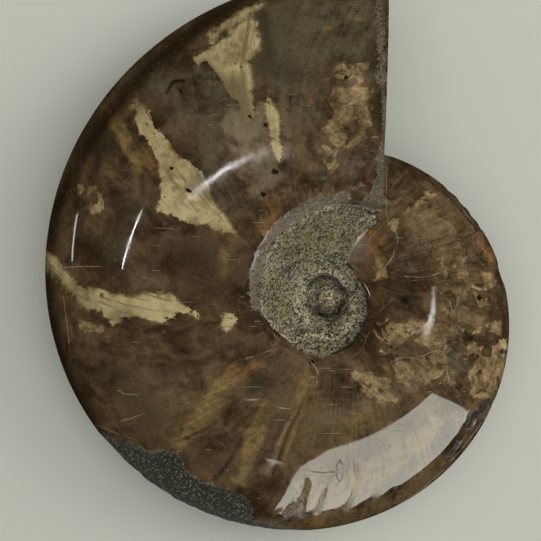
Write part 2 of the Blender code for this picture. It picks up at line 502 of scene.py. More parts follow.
CREAM_CROSSBAND = [
    (47, 251), (56, 259), (60, 267), (68, 275), (75, 281), (89, 286), (100, 289),
    (110, 294), (120, 293), (127, 296), (138, 294), (152, 295), (158, 292), (167, 293),
    (175, 297), (181, 303), (189, 306), (193, 312), (199, 317), (189, 312), (178, 310),
    (175, 317), (162, 319), (150, 318), (141, 315), (132, 315), (123, 319), (113, 325),
    (106, 318), (101, 309), (92, 310), (84, 306), (78, 298), (70, 293), (62, 286),
    (56, 274), (48, 268),
]
CREAM_ISLANDS = [
    [(222, 316), (229, 312), (236, 318), (234, 324), (226, 329), (220, 325)],
    [(498, 336), (507, 339), (504, 348), (497, 345)],
    [(210, 46), (222, 32), (238, 22), (256, 8), (264, 0), (240, 10), (222, 20), (208, 34)],
]
TAN_FLAME = [
    (331, 59), (349, 60), (367, 63), (367, 78), (363, 86), (369, 88), (377, 90), (380, 99),
    (373, 119), (363, 135), (357, 143), (347, 149), (333, 157), (319, 153), (321, 143),
    (325, 127), (328, 115), (331, 99), (327, 87), (333, 72),
]
TAN_PATCHES = [
    TAN_FLAME,
    [(323, 160), (341, 160), (338, 177), (326, 176)],
    [(316, 188), (335, 185), (340, 198), (322, 202), (312, 198)],
    [(70, 319), (80, 318), (91, 322), (103, 325), (102, 336), (92, 332), (81, 329)],
    [(139, 326), (149, 327), (146, 334), (138, 333)],
    [(160, 325), (171, 326), (170, 335), (161, 334)],
    [(391, 361), (400, 357), (418, 357), (430, 352), (443, 349), (445, 368), (448, 379),
     (430, 384), (412, 380), (404, 392), (396, 380)],
    [(466, 345), (480, 340), (507, 338), (508, 360), (500, 392), (487, 404), (470, 398),
     (463, 380), (470, 362)],
    [(349, 372), (372, 366), (392, 380), (393, 400), (376, 402), (360, 392)],
    [(384, 214), (404, 206), (424, 193), (440, 189), (428, 204), (408, 214), (392, 232)],
    [(370, 262), (384, 262), (386, 276), (374, 280)],
    [(478, 270), (492, 268), (497, 284), (486, 290)],
    [(384, 316), (404, 320), (412, 338), (394, 348), (382, 332)],
    [(404, 318), (440, 322), (470, 326), (500, 320), (504, 334), (466, 334), (440, 346),
     (400, 340)],
    [(74, 184), (92, 180), (98, 192), (82, 200)],
    [(84, 206), (104, 198), (106, 214), (90, 222)],
]
TAN_GREY_VEIL = [
    (236, 100), (256, 108), (266, 100), (276, 108), (281, 130), (283, 180), (274, 190),
    (258, 196), (247, 188), (240, 165), (226, 140), (228, 118),
]
SANDSTONE = [
    (345, 203), (357, 204), (367, 213), (377, 221), (368, 229), (357, 236), (349, 254),
    (345, 264), (352, 271), (359, 282), (367, 296), (369, 312), (363, 330), (353, 345),
    (338, 353), (320, 357), (300, 350), (288, 341), (272, 328), (262, 314), (256, 298),
    (258, 278), (263, 262), (269, 245), (280, 232), (296, 221), (316, 209), (332, 204),
]
CRUST = [
    (97, 433), (113, 439), (127, 443), (140, 447), (151, 452), (163, 450), (176, 453),
    (183, 462), (188, 475), (200, 482), (212, 485), (223, 488), (234, 493), (246, 497),
    (252, 505), (252, 520), (274, 524), (297, 528),
    (306, 532), (300, 545), (240, 545), (180, 520), (130, 485), (90, 440),
]
MARKINGS = {
    "cream": [CREAM_FLAME, CREAM_TONGUE, CREAM_BAND, CREAM_CROSSBAND, *CREAM_ISLANDS],
    "tan": TAN_PATCHES,
    "veil": [TAN_GREY_VEIL],
    "sandstone": [SANDSTONE],
    "crust": [CRUST],
}

# Soft brush strokes of each tint: width and strength, then the path.
STROKES = {
    "slate": [
        (48, 0.95, [(280, 30), (345, 28)]),
        (26, 0.8, [(285, 75), (305, 110)]),
        (26, 0.75, [(150, 72), (190, 105), (212, 150)]),
        (12, 0.9, [(222, 190), (238, 208)]),
        (12, 0.9, [(452, 352), (458, 366)]),
        (9, 0.8, [(402, 262), (416, 268)]),
        (12, 0.7, [(350, 172), (372, 150)]),
        (14, 0.8, [(204, 78), (222, 96), (238, 122)]),
        (10, 0.8, [(216, 176), (226, 200)]),
    ],
    "moss": [
        (14, 0.9, [(101, 132), (104, 146)]),
        (18, 0.6, [(132, 208), (112, 252)]),
        (24, 0.5, [(112, 372), (132, 396), (152, 420)]),
        (9, 0.9, [(252, 388), (262, 382)]),
        (10, 0.8, [(397, 292), (409, 303)]),
        (8, 0.75, [(262, 14), (268, 52)]),
        (14, 0.6, [(262, 66), (290, 72)]),
        (6, 0.6, [(372, 40), (374, 84)]),
        (8, 0.7, [(318, 182), (330, 168)]),
    ],
    "bronze": [
        (46, 0.55, [(400, 200), (440, 240), (462, 300), (440, 380)]),
        (22, 0.8, [(380, 400), (340, 430)]),
        (14, 0.95, [(310, 524), (360, 518), (410, 496), (444, 466)]),
        (22, 0.7, [(300, 130), (290, 190)]),
        (16, 0.3, [(80, 180), (64, 240)]),
        (26, 0.6, [(205, 390), (180, 425)]),
        (24, 0.8, [(262, 420), (232, 470)]),
        (30, 0.7, [(320, 385), (310, 440)]),
    ],
    "gold": [
        (9, 0.75, [(110, 118), (120, 131), (130, 148), (138, 168)]),
        (10, 0.75, [(236, 372), (216, 392), (196, 420), (180, 440)]),
        (9, 0.8, [(258, 428), (252, 452)]),
        (7, 0.7, [(226, 252), (222, 275)]),
        (8, 0.7, [(306, 372), (300, 395)]),
        (6, 0.9, [(378, 262), (380, 274)]),
        (10, 0.5, [(372, 412), (352, 420)]),
        (3, 0.7, [(264, 402), (252, 424), (245, 446), (242, 470)]),
        (2.5, 0.8, [(305, 405), (294, 428), (287, 448), (281, 468)]),
        (4, 0.6, [(232, 478), (246, 484)]),
        (5, 0.7, [(316, 509), (322, 490)]),
        (5, 0.6, [(327, 29)]),
        (4, 0.5, [(362, 31)]),
        (4, 0.5, [(350, 14), (360, 20)]),
        (5, 0.6, [(306, 90), (312, 104)]),
        (9, 0.5, [(264, 212), (262, 236)]),
        (6, 0.6, [(286, 512), (300, 504)]),
    ],
    "amber": [
        (9, 0.55, [(146, 150), (150, 168)]),
        (9, 0.62, [(269, 196), (275, 214), (268, 234)]),
        (6, 0.7, [(222, 232), (232, 236)]),
        (6, 0.7, [(254, 364), (240, 372)]),
        (4, 0.8, [(316, 372), (313, 392), (300, 407), (290, 425), (279, 446)]),
        (10, 0.8, [(364, 232), (378, 246)]),
        (6, 0.7, [(480, 238), (492, 262)]),
        (9, 0.5, [(322, 522), (300, 520)]),
        (4, 0.7, [(354, 466), (357, 480), (355, 492)]),
        (6, 0.5, [(166, 172), (178, 196)]),
    ],
    "plum": [
        (8, 0.7, [(236, 436), (228, 446)]),
        (6, 0.8, [(284, 418), (274, 448), (270, 464)]),
        (16, 0.5, [(330, 380), (345, 396)]),
        (30, 0.5, [(170, 250), (230, 265)]),
        (8, 0.5, [(398, 410), (440, 398)]),
        (4, 0.7, [(273, 418), (263, 444), (256, 470)]),
        (12, 0.6, [(200, 458), (228, 470)]),
        (5, 0.8, [(288, 150), (289, 176)]),
    ],
    "flaky": [
        (56, 1.0, [(450, 280), (456, 320), (450, 370), (400, 350)]),
        (40, 0.5, [(405, 205), (440, 240)]),
        (26, 0.8, [(350, 90), (345, 140)]),
        (26, 0.8, [(85, 195), (110, 190)]),
        (20, 0.5, [(245, 280), (215, 330)]),
        (20, 0.7, [(360, 390), (385, 385)]),
        (20, 0.5, [(330, 190), (300, 195)]),
    ],
    # Painted sheen: a warm glow laid under the window's reflection low on the flank, and painted
    # highlights along the fold ridges.
    "painted_sheen": [
        (16, 1.0, [(320, 500), (350, 485), (390, 465), (430, 430)]),
        (10, 0.8, [(300, 488), (312, 480)]),
        (4, 0.7, [(300, 398), (288, 422), (279, 446), (268, 472)]),
        (5, 0.6, [(258, 440), (250, 462), (240, 478)]),
    ],
    # Painted shade along the rim, where it turns away, and in the creases of the folds; the broad
    # first stroke is the shell's own darker brown.
    "shade": [
        (30, 0.55, [(190, 262), (215, 285)]),
        (9, 0.9, [(300, -14), (250, 0), (200, 26), (150, 66), (110, 112), (78, 160), (56, 208),
                  (46, 260), (48, 310), (58, 360), (76, 404), (92, 430)]),
        (5, 0.7, [(520, 300), (518, 330), (508, 370)]),
        (3, 0.6, [(242, 436), (230, 460), (212, 481)]),
        (2.5, 0.7, [(299, 410), (288, 431), (281, 450), (272, 474)]),
    ],
    "grit": [
        (6.5, 0.95, [(257, 306), (254, 292), (256, 276), (262, 256), (271, 238), (284, 223),
                     (301, 210), (320, 202), (342, 197)]),
        (3.5, 0.9, [(284, 515), (294, 507), (300, 500)]),
        (6, 1.0, [(380, -24), (380, 30), (381, 80)]),
        (3.5, 0.9, [(383, 90), (385, 150)]),
        (7, 0.95, [(383, 152), (381, 178), (374, 196)]),
        (6, 0.9, [(384, 200), (372, 206), (362, 203)]),
        (4, 0.7, [(350, 190), (362, 182)]),
    ],
    "dull": [
        (4, 1.0, [(288, 517), (298, 508), (302, 516)]),
        (6, 1.0, [(352, 262), (358, 250), (368, 240)]),
        (3.2, 1.0, [(316, 510), (320, 497), (323, 489)]),
        (3.6, 0.95, [(354, 464), (357, 480), (355, 494), (346, 509)]),
        (4.0, 0.55, [(375, 476), (377, 488), (375, 502)]),
        (7, 0.35, [(306, 422), (336, 414), (386, 397), (414, 381)]),
    ],
    # Paler sand, with a painted highlight on the knob, on the ridge round it and along the
    # navel's rim.
    "pale_sand_and_highlight": [
        (3.5, 0.8, [(345, 283), (338, 273), (325, 268), (311, 272), (301, 282), (296, 298),
                    (299, 312), (308, 322)]),
        (7, 1.0, [(324, 294), (332, 299)]),
        (5, 0.9, [(302, 288), (298, 304), (304, 318)]),
        (4, 0.8, [(352, 300), (354, 316), (344, 330), (328, 338), (308, 334)]),
        (3, 0.8, [(264, 262), (270, 248), (281, 235), (297, 224), (316, 212), (336, 206)]),
        (3, 0.6, [(259, 300), (266, 318), (280, 334), (298, 345)]),
    ],
    # Painted shade in the sandstone: in the grooves round the knob, in the small hollows and
    # under the navel's wall on the right.
    "sand_painted_shade": [
        (2.8, 1.0, [(316, 307), (320, 312), (328, 315), (337, 311), (342, 301)]),
        (2.6, 0.8, [(309, 286), (320, 277), (334, 280), (342, 290)]),
        (2.4, 0.7, [(281, 274), (292, 265), (303, 260)]),
        (2.4, 0.5, [(279, 260), (291, 250), (305, 243)]),
        (4.0, 0.9, [(366, 296), (368, 312), (361, 330), (350, 344), (334, 352)]),
        (3.0, 0.6, [(300, 330), (318, 332)]),
    ],
    "green_stone": [
        (30, 0.9, [(300, 240), (330, 225), (345, 240)]),
        (12, 0.7, [(272, 285), (280, 310)]),
    ],
    "faded": [
        (12, 0.85, [(236, 84), (247, 114)]),
        (10, 0.8, [(204, 66), (220, 82), (232, 100)]),
        (8, 0.7, [(196, 176), (208, 196)]),
        (8, 0.6, [(112, 316), (128, 312)]),
        (10, 0.5, [(70, 290), (84, 300)]),
    ],
    # Dark spots of the shell's own, and painted shade in the grooves low on the flank.
    "dark_spots_and_groove_shade": [
        (3.0, 0.6, [(167, 92), (172, 81), (184, 80)]),
        (2.5, 0.6, [(178, 88), (184, 94)]),
        (3.5, 1.0, [(250, 118)]),
        (4.5, 0.8, [(266, 126)]),
        (4, 0.9, [(275, 172)]),
        (2.5, 0.9, [(263, 194)]),
        (2.2, 1.0, [(167, 188)]),
        (2.0, 1.0, [(187, 190)]),
        (1.8, 1.0, [(171, 168)]),
        (1.8, 1.0, [(147, 140)]),
        (3, 0.8, [(346, 110)]),
        (4, 0.9, [(404, 300)]),
        (3.5, 0.8, [(479, 297)]),
        (3, 1.0, [(311, 362)]),
        (2.0, 0.9, [(389, 445)]),
        (2, 0.5, [(230, 455), (222, 471), (214, 477)]),
        (4, 0.9, [(347, 266), (352, 276), (360, 288)]),
        (3, 0.9, [(340, 204), (357, 205), (366, 212)]),
        (1.2, 0.8, [(281, 511), (292, 500), (302, 484)]),
        (1.8, 0.8, [(325, 494), (324, 503), (321, 511)]),
        (2.0, 0.8, [(288, 520), (297, 512)]),
    ],
}

# Grooves and ridges on the flanks: width in pixels, height in millimetres, path.
RELIEF = [
    (5.0, -0.10, [(311, 363), (317, 372), (313, 390), (300, 406), (292, 420)]),
    (9.0, 0.05, [(326, 374), (323, 394), (311, 412), (300, 431), (292, 446)]),
    (9.0, 0.04, [(300, 372), (298, 390), (286, 404), (275, 424)]),
    (30.0, 0.85, [(336, 428), (376, 409), (418, 388)]),
    (5.5, -0.08, [(252, 374), (242, 394), (237, 408), (238, 424)]),
    (5.0, -0.04, [(240, 434), (233, 452), (223, 468), (211, 479)]),
    (4.0, -0.24, [(281, 512), (292, 499), (303, 482)]),
    (4.5, -0.20, [(300, 514), (300, 500), (304, 486)]),
    (3.5, -0.22, [(315, 512), (319, 499), (323, 489)]),
    (4.0, -0.24, [(354, 464), (357, 480), (355, 494), (346, 511)]),
    (4.5, -0.14, [(375, 474), (377, 488), (374, 503)]),
    (5.0, -0.08, [(392, 462), (396, 478), (394, 492)]),
    (7.0, -0.06, [(400, 466), (402, 486)]),
]

# The same in the navel's sandstone: the knob, the seams round it and the small hollows.
NAVEL_RELIEF = [
    (4.2, 1.25, [(345, 283), (338, 274), (325, 269), (311, 273), (301, 283), (296, 300),
                 (300, 314), (308, 322), (320, 326), (334, 324), (344, 317)]),
    (3.2, -1.15, [(309, 284), (322, 276), (336, 281), (344, 293), (342, 308), (332, 317),
                  (318, 316), (309, 306)]),
    (3.0, -0.70, [(281, 274), (292, 265), (304, 260)]),
    (3.0, -0.55, [(279, 260), (291, 250), (306, 243)]),
    (4.0, -0.90, [(365, 292), (366, 312), (359, 329), (348, 342), (330, 351)]),
    (6.5, 1.40, [(327, 298)]),
    (2.6, -0.70, [(318, 309), (327, 314), (336, 309)]),
    (2.2, -0.50, [(322, 300), (327, 303), (331, 298)]),
]

# Hair lines and cracks in the polished shell: dark ones, and pale ones. The first pale line is a
# painted highlight along the navel's rim, and the third a painted highlight along the edge of the
# ground facet at the left.
DARK_LINES = [
    [(339, 459), (342, 464), (342, 476), (339, 481), (336, 476), (336, 464), (338, 459)],
    [(313, 471), (326, 472), (338, 470)],
    [(353, 464), (355, 478), (352, 492), (346, 506)],
    [(296, 507), (301, 495), (305, 483)],
    [(316, 509), (319, 499), (325, 488)],
    [(391, 159), (408, 168), (428, 180), (447, 196), (463, 213), (478, 232)],
    [(490, 398), (482, 408), (474, 418), (468, 428), (462, 440), (452, 456)],
    [(146, 112), (158, 130), (172, 142), (186, 150), (196, 160)],
    [(416, 240), (428, 250), (446, 244), (464, 238), (478, 230)],
    [(417, 239), (426, 238), (432, 244), (429, 252), (420, 254)],
    [(466, 250), (468, 260), (467, 270)],
    [(333, 203), (346, 204), (358, 206), (367, 213), (374, 219)],
    [(316, 376), (312, 392), (298, 410), (285, 430)],
    [(289, 152), (290, 163), (288, 177)],
    [(464, 287), (458, 303), (456, 316), (458, 328), (452, 342)],
    [(437, 180), (446, 193), (458, 204), (464, 215), (474, 224), (481, 231)],
    [(409, 299), (398, 294), (388, 303)],
    [(470, 258), (480, 254), (486, 246)],
]
PALE_LINES = [
    [(333, 206), (315, 209), (295, 220), (278, 232), (268, 244), (262, 262), (257, 278),
     (256, 298), (260, 312), (268, 328), (277, 338)],
    [(386, 148), (386, 175), (386, 196), (386, 214)],
    [(59, 267), (62, 290), (66, 320), (69, 344)],
    [(60, 267), (80, 266), (101, 266)],
    [(240, 360), (256, 355), (272, 349)],
    [(118, 390), (125, 394), (134, 394)],
    [(122, 420), (131, 418), (138, 415)],
    [(391, 361), (400, 357), (418, 357), (430, 352), (443, 349), (446, 368), (448, 379)],
    [(404, 276), (420, 277), (430, 276), (438, 272)],
    [(433, 287), (441, 293), (449, 300), (452, 310)],
    [(392, 222), (398, 240), (392, 256), (384, 268)],
    [(500, 394), (488, 412), (474, 432), (458, 452), (440, 472), (420, 490), (398, 504)],
    [(311, 362), (318, 372), (315, 386)],
    [(100, 426), (114, 432), (130, 438)],
]
# Where the rim is chipped: width in pixels, strength, path.
CHIPS = [
    (3.0, 0.6, [(448, 190), (468, 210), (480, 226)]),
    (3.5, 0.8, [(497, 262), (502, 272), (505, 284)]),
    (4.0, 1.0, [(489, 401), (482, 410), (474, 416), (468, 427)]),
    (3.0, 0.8, [(458, 442), (450, 456), (444, 462)]),
]

# Lumps of the rough stone, and how deep it sinks below the polish.
LUMP_SIZE, GRAIN_SIZE = 2.6 * MM, 0.9 * MM
LUMP_HEIGHT = 0.10 * MM
CRUST_SINK, CRUST_LUMPS = 0.35 * MM, 0.25 * MM
GRIT_SINK, GRIT_LUMPS = 0.15 * MM, 0.30 * MM
CHIP_SINK, CHIP_LUMPS, CHIP_GRAIN = 0.4 * MM, 0.5 * MM, 0.2 * MM
ROUGH_GRIT = 0.5
# Pixels from the outline over which the stone turns rough.
NAVEL_EDGE, CRUST_EDGE = (-1.0, 4.0), (-2.0, 6.0)
NOISE_REACH = 1.6  # brings the noise to about -1 to 1
ROUGH_FROM = 0.01


def relief_height(relief, spots):
    return MM * sum(
        height * np.exp(-((distance_to_path(path, spots) / width) ** 2))
        for width, height, path in relief
    )


def lumps(places, size):
    """Lumps of that size at each place, the same on each run."""
    return np.array([noise.noise(Vector(place) / size) for place in places]) * NOISE_REACH


def carve(skin, shift):
    """Cuts the creases, chips and rough stone into the skin."""
    places = read_points(skin)
    spots = photo_spots(upper_twins(places, shift), shift[2])
    rough_by = {
        "navel": smooth_step(depth_inside(SANDSTONE, spots), *NAVEL_EDGE),
        "crust": smooth_step(depth_inside(CRUST, spots), *CRUST_EDGE),
        "grit": ROUGH_GRIT * brushed(STROKES["grit"], spots),
    }
    chipped = brushed(CHIPS, spots)
    rough = np.maximum.reduce([*rough_by.values(), chipped])
    rise = relief_height(RELIEF, spots)
    rise += rough_by["navel"] * relief_height(NAVEL_RELIEF, spots)
    coarse, small = np.zeros(len(places)), np.zeros(len(places))
    stony = rough > ROUGH_FROM
    coarse[stony] = lumps(places[stony], LUMP_SIZE)
    small[stony] = lumps(places[stony], GRAIN_SIZE)
    rise += rough * LUMP_HEIGHT * (coarse + small)
    rise -= rough_by["crust"] * (CRUST_SINK + CRUST_LUMPS * coarse)
    rise -= rough_by["grit"] * (GRIT_SINK + GRIT_LUMPS * coarse)
    rise -= chipped * (CHIP_SINK + CHIP_LUMPS * coarse + CHIP_GRAIN * small)
    write_points(skin, places + read_normals(skin) * rise[:, None])


def paint(skin, shift):
    """Stores on the skin how deep each point lies in each marking, and each tint."""
    spots = photo_spots(upper_twins(read_points(skin), shift), shift[2])
    millimetres = PIXEL / MM
    for name, outlines in MARKINGS.items():
        write_values(skin, name + "_depth", millimetres * deepest(outlines, spots))
    for name, paths in (("dark_line", DARK_LINES), ("pale_line", PALE_LINES)):
        side = millimetres * side_of_paths(paths, spots)
        write_values(skin, name + "_side", side)
        write_values(skin, name + "_gap", np.abs(side))
    for tint, strokes in STROKES.items():
        write_values(skin, tint, brushed(strokes, spots))
    write_values(skin, "chipped", brushed(CHIPS, spots))


def smooth_skin(skin):
    """Smooths the shading, but for sharp edges such as the saw cut's."""
    bpy.ops.object.select_all(action="DESELECT")
    bpy.context.view_layer.objects.active = skin
    skin.select_set(True)
    bpy.ops.object.shade_smooth_by_angle(angle=SMOOTH_BELOW)


def add_camera(mid_height):
    """Straight over the fossil, with the photograph's frame at the shell's mid-plane."""
    data = bpy.data.cameras.new("over_the_fossil")
    data.sensor_width = FILM_WIDTH
    data.lens = FILM_WIDTH * VIEW_DISTANCE / (PHOTO_SIZE * PIXEL)
    data.clip_start, data.clip_end = VIEW_NEAR, VIEW_FAR
    camera = bpy.data.objects.new("over_the_fossil", data)
    camera.location = camera_place(mid_height)
    bpy.context.scene.collection.objects.link(camera)
    bpy.context.scene.camera = camera


def add_floor():
    """A pale, dull floor, which doesn't show in the fossil's polish."""
    bpy.ops.mesh.primitive_plane_add(size=FLOOR_SIZE)
    floor = bpy.context.object
    floor.name = "floor"
    material = bpy.data.materials.new("pale_floor")
    material.use_nodes = True
    surface = material.node_tree.nodes["Principled BSDF"]
    surface.inputs["Base Color"].default_value = (*FLOOR_COLOUR, 1)
    surface.inputs["Roughness"].default_value = FLOOR_ROUGHNESS
    surface.inputs["Specular IOR Level"].default_value = 0.0
    floor.data.materials.append(material)
    floor.visible_glossy = False


def add_lamp(name, size, radiance, colour):
    """A flat lamp that looks that bright, still at the origin and facing down."""
    data = bpy.data.lights.new(name, "AREA")
    data.shape = "RECTANGLE"
    data.size, data.size_y = size
    data.energy = radiance * math.pi * size[0] * size[1]
    data.color = colour
    lamp = bpy.data.objects.new(name, data)
    lamp.visible_camera = False
    bpy.context.scene.collection.objects.link(lamp)
    return lamp


def add_softbox(name, place, size, radiance):
    """A wide square lamp that faces the fossil and stays out of its polish."""
    lamp = add_lamp(name, (size, size), radiance, WHITE)
    lamp.location = place
    inwards = Vector((0, 0, 0)) - Vector(place)
    lamp.rotation_euler = inwards.to_track_quat("-Z", "Y").to_euler()
    lamp.visible_glossy = False


def add_gleam(name, start, end, width, radiance, colour, aim_height):
    """A lamp strip from start to end, facing the fossil, which only shows in the polish."""
    start, end = Vector(start), Vector(end)
    lamp = add_lamp(name, ((end - start).length, width), radiance, colour)
    backward = ((start + end) / 2 - Vector((0, 0, aim_height))).normalized()
    along = (end - start).normalized()
    across = backward.cross(along).normalized()
    facing = along.cross(across)
    lamp.matrix_world = Matrix.Translation((start + end) / 2) @ Matrix(
        (along, across, facing)).transposed().to_4x4()
    lamp.visible_diffuse = False


def add_lights():
    for softbox in SOFTBOXES:
        add_softbox(*softbox)
    for gleam in GLEAMS:
        add_gleam(*gleam)


def add_room_light():
    """A faint even light from all sides, which doesn't show in the polish."""
    world = bpy.data.worlds.new("soft_room")
    bpy.context.scene.world = world
    world.use_nodes = True
    world.cycles_visibility.glossy = False
    background = world.node_tree.nodes["Background"]
    background.inputs["Color"].default_value = (*ROOM_COLOUR, 1)
    background.inputs["Strength"].default_value = ROOM_STRENGTH


class Recipe:
    """A material's nodes, added one call at a time."""

    def __init__(self, name):
        self.material = bpy.data.materials.new(name)
        self.material.use_nodes = True
        self.tree = self.material.node_tree
        self.surface = self.tree.nodes["Principled BSDF"]
        self.place = self.node("ShaderNodeTexCoord").outputs["Object"]

    def node(self, kind, inputs=None, **settings):
        made = self.tree.nodes.new(kind)
        for setting, value in settings.items():
            setattr(made, setting, value)
        for socket, value in (inputs or {}).items():
            if isinstance(value, bpy.types.NodeSocket):
                self.tree.links.new(value, made.inputs[socket])
            else:
                made.inputs[socket].default_value = value
        return made

    def attribute(self, name):
        return self.node("ShaderNodeAttribute", attribute_name=name).outputs["Fac"]

    def figure(self, kind, first, second=0.0, third=0.0):
        """One step of arithmetic on numbers."""
        inputs = {0: first, 1: second, 2: third}
        return self.node("ShaderNodeMath", inputs, operation=kind).outputs[0]

    def chain(self, kind, values):
        result = values[0]
        for value in values[1:]:
            result = self.figure(kind, result, value)
        return result

    def product(self, *values):
        return self.chain("MULTIPLY", values)

    def most(self, *values):
        return self.chain("MAXIMUM", values)

    def swayed(self, value, *pushes):
        """A number pushed up and down by so much of each noise."""
        for reach, push in pushes:
            value = self.figure("MULTIPLY_ADD", push, reach, value)
        return value

    def ramp(self, value, low, high, start=0.0, end=1.0):
        """From start to end as value goes from low to high, smoothly."""
        inputs = {"Value": value, "From Min": low, "From Max": high,
                  "To Min": start, "To Max": end}
        made = self.node("ShaderNodeMapRange", inputs, interpolation_type="SMOOTHSTEP")
        return made.outputs["Result"]

    def triple(self, kind, first, second):
        """One step of arithmetic on places or colours."""
        inputs = {0: first, 1: second}
        return self.node("ShaderNodeVectorMath", inputs, operation=kind).outputs[0]

    def cloud(self, size, detail=2.0, roughness=0.5, place=None, distortion=0.0, seed=0.0):
        """Cloudy noise with clouds of that size in metres, from about -0.3 to 0.3."""
        aside = (seed, 2.3 * seed, 1.7 * seed)
        shifted = self.triple("ADD", place or self.place, aside)
        inputs = {"Vector": shifted, "Scale": 1 / size, "Detail": detail,
                  "Roughness": roughness, "Distortion": distortion}
        clouds = self.node("ShaderNodeTexNoise", inputs).outputs[0]
        return self.figure("SUBTRACT", clouds, 0.5)

    def cells(self, size, place=None, output="Color", **settings):
        """Cells of that size, each with its own chance colour."""
        inputs = {"Vector": place or self.place, "Scale": 1 / size}
        return self.node("ShaderNodeTexVoronoi", inputs, **settings).outputs[output]

    def blend(self, share, first, second):
        """A colour between first and second."""
        inputs = {"Factor": share}
        made = self.node("ShaderNodeMix", inputs, data_type="RGBA")
        for index, value in ((6, first), (7, second)):
            if isinstance(value, bpy.types.NodeSocket):
                self.tree.links.new(value, made.inputs[index])
            else:
                made.inputs[index].default_value = (*value, 1.0)
        return made.outputs[2]

    def times(self, colour, factor):
        """A colour made lighter or darker by a number."""
        return self.node("ShaderNodeVectorMath", {0: colour, 3: factor},
                         operation="SCALE").outputs[0]

    def displaced(self, size, reach):
        """The place, pushed about by noise, which bends what is drawn there."""
        inputs = {"Vector": self.place, "Scale": 1 / size, "Detail": 2.0}
        push = self.node("ShaderNodeTexNoise", inputs).outputs[1]
        push = self.triple("SUBTRACT", push, (0.5, 0.5, 0.5))
        return self.triple("ADD", self.place, self.times(push, reach))

    def between(self, share, first, second):
        """A number between first and second."""
        made = self.node("ShaderNodeMix", {"Factor": share, 2: first, 3: second})
        return made.outputs[0]

    def finish(self, colour, roughness, height):
        """Sends the colour, roughness and height in metres to the surface."""
        bump = self.node("ShaderNodeBump", {"Height": height, "Distance": 1.0})
        self.surface.inputs["Specular IOR Level"].default_value = SHINE
        links = self.tree.links
        links.new(self.times(colour, LIFT), self.surface.inputs["Base Color"])
        links.new(roughness, self.surface.inputs["Roughness"])
        links.new(bump.outputs["Normal"], self.surface.inputs["Normal"])
        return self.material


# How strongly the polish shines, and by how much all colours are lifted.
SHINE = 0.70
LIFT = 1.08

# The growth streaks: how far they sweep back on their way out, in radians a metre, and
# how they are spread round the coil and squeezed outwards.
STREAK_SWEEP = -6.0
STREAK_SPREAD = 0.060
STREAK_SQUEEZE = 0.08


def along_flank(recipe, centre):
    """Coordinates round the coil and out from its axis, squeezed outwards into streaks."""
    moved = recipe.node("ShaderNodeMapping", {
        "Vector": recipe.place, "Location": (-centre[0], -centre[1], 0.0),
    }).outputs[0]
    parts = recipe.node("ShaderNodeSeparateXYZ", {0: moved})
    x, y, z = parts.outputs
    back_x, back_y = recipe.product(x, -1.0), recipe.product(y, -1.0)
    bearing = recipe.figure("ARCTAN2", back_x, back_y)
    reach = recipe.figure("SQRT", recipe.figure(
        "ADD", recipe.product(x, x), recipe.product(y, y)))
    swept = recipe.swayed(bearing, (STREAK_SWEEP, reach))
    return recipe.node("ShaderNodeCombineXYZ", {
        "X": recipe.product(swept, STREAK_SPREAD),
        "Y": recipe.product(reach, STREAK_SQUEEZE),
        "Z": recipe.product(z, STREAK_SQUEEZE),
    }).outputs[0]


# Colours of the stone, as light reflected in red, green and blue.
UMBER = (0.048, 0.028, 0.014)
UMBER_LIGHT = (0.142, 0.089, 0.046)
TINTS = {
    "bronze": (0.142, 0.093, 0.044),
    "slate": (0.110, 0.088, 0.050),
    "moss": (0.048, 0.042, 0.022),
    "plum": (0.078, 0.046, 0.031),
    "gold": (0.230, 0.150, 0.055),
    "amber": (0.220, 0.112, 0.042),
    # Painted sheen: a painted reflection and painted highlights.
    "painted_sheen": (0.200, 0.145, 0.072),
    # Painted shade at the rim and in the fold creases, and in one place the shell's own dark
    # brown.
    "shade": (0.026, 0.016, 0.008),
}
TAN_DEEP, TAN_PALE = (0.140, 0.090, 0.042), (0.430, 0.300, 0.150)
VEIL_DEEP, VEIL_PALE = (0.120, 0.088, 0.050), (0.270, 0.215, 0.125)
CREAM_DEEP, CREAM_PALE = (0.240, 0.166, 0.070), (0.610, 0.485, 0.245)
CREAM_WARM, CREAM_GREY = (0.215, 0.125, 0.050), (0.190, 0.165, 0.100)
CREAM_FADED = (0.165, 0.125, 0.062)
FRINGE = (0.130, 0.076, 0.031)
CRACK_PALE = (0.24, 0.17, 0.09)
LINE_DARK, LINE_PALE = (0.022, 0.014, 0.009), (0.36, 0.29, 0.17)
SPECK_DARK, SPECK_PALE = (0.018, 0.012, 0.008), (0.34, 0.25, 0.13)
SAND_DARK, SAND_PALE = (0.020, 0.018, 0.009), (0.37, 0.335, 0.215)
SAND_WARM = (0.26, 0.165, 0.08)
SAND_GREEN = (0.80, 0.79, 0.58)  # a tint that the sand's own colour is multiplied by
CRUST_DARK, CRUST_GREY = (0.004, 0.004, 0.002), (0.024, 0.025, 0.009)
CRUST_FLECK = (0.20, 0.195, 0.11)
GRIT_DARK, GRIT_PALE = (0.045, 0.031, 0.016), (0.185, 0.135, 0.075)
CHIP_DARK, CHIP_PALE = (0.003, 0.002, 0.001), (0.070, 0.046, 0.024)

# Flakes of the brown shell, from large to small: size, darkest and lightest tone.
FLAKES = [
    (15 * MM, 0.80, 1.24),
    (7.5 * MM, 0.72, 1.40),
    (2.8 * MM, 0.84, 1.22),
]
CRACKED_FLAKE = 8.5 * MM
# Specks: size, seed of their crowds, how much they cover, colour.
SPECKS = [
    (3.0 * MM, 2.2, 0.95, SPECK_DARK),
    (1.3 * MM, 3.9, 0.8, SPECK_DARK),
    (1.9 * MM, 5.7, 0.55, SPECK_PALE),
]
# Half widths of the hair lines in millimetres, and how much lines and scratches cover.
PALE_LINE_WIDTH, DARK_LINE_WIDTH = 0.17, 0.24
PALE_LINE_COVER, DARK_LINE_COVER, SCRATCH_COVER = 0.65, 0.75, 0.45
